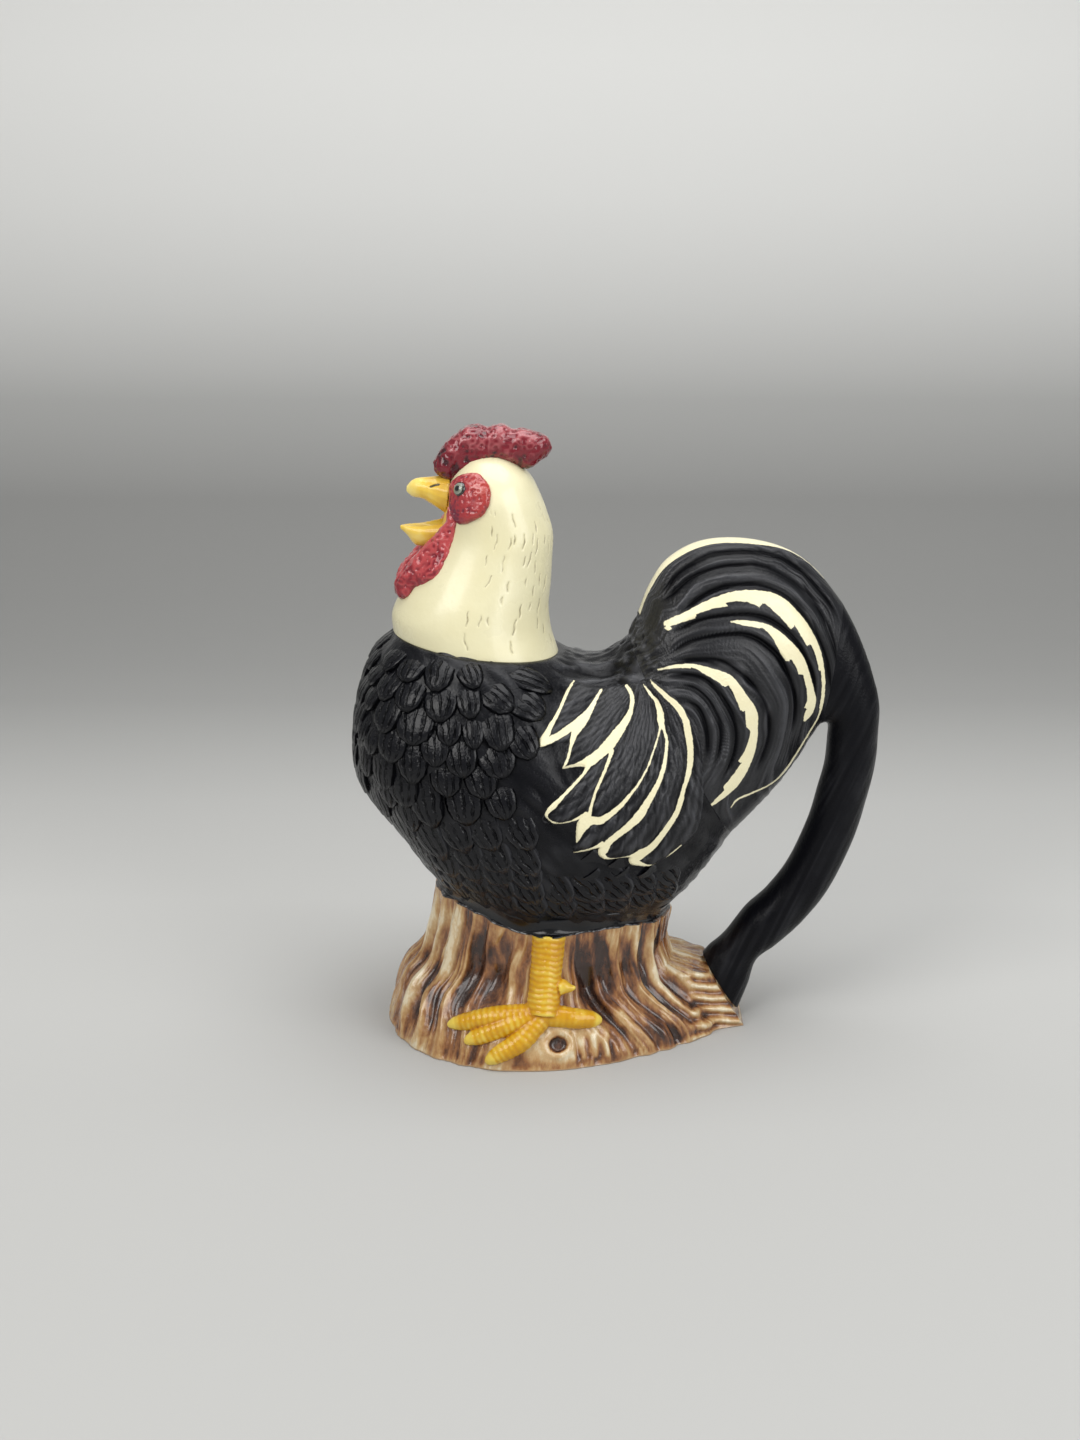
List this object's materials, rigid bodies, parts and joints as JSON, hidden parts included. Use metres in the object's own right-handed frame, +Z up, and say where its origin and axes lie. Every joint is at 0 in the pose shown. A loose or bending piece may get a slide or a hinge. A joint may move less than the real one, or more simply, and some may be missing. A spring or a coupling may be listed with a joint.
{
  "type": "rooster pitcher",
  "caption": "Glazed earthenware pitcher shaped as a rooster on a tree stump: hollow body and neck, open beak as the spout, tail fan bent over into the handle.",
  "frame": {"origin": "centre of the stump's flat foot, on the table", "axes": "+X toward the handle, so the bird faces -X; +Y to the bird's right; +Z up"},
  "size_m": [0.2161, 0.1238, 0.2535],
  "materials": {
    "bark_glaze": "glossy brown glaze that breaks to tan on the ridges",
    "yellow_glaze": "glossy yellow glaze",
    "black_glaze": "satin blue-black glaze over feather relief",
    "wing_glaze": "satin black glaze with cream feather edges",
    "tail_glaze": "satin black glaze with cream stripes",
    "handle_glaze": "smooth satin black glaze",
    "cream_glaze": "glossy ivory glaze with incised dashes",
    "red_glaze": "glossy crimson glaze over pitted clay",
    "beak_glaze": "glossy yellow glaze",
    "face_glaze": "glossy rose glaze over pitted clay",
    "eye_glaze": "painted eye under clear glaze",
    "wattle_glaze": "glossy mauve-red glaze over pitted clay"
  },
  "bodies": {
    "root": {"stump_base": "bark_glaze", "left_leg": "yellow_glaze", "right_leg": "yellow_glaze", "body_shell": "black_glaze", "left_wing": "wing_glaze", "right_wing": "wing_glaze", "tail_shell": "tail_glaze", "handle": "handle_glaze", "head_shell": "cream_glaze", "comb": "red_glaze", "upper_beak": "beak_glaze", "lower_beak": "beak_glaze", "left_face_patch": "face_glaze", "right_face_patch": "face_glaze", "left_eye": "eye_glaze", "right_eye": "eye_glaze", "left_wattle": "wattle_glaze", "right_wattle": "wattle_glaze"}
  },
  "joints": []
}
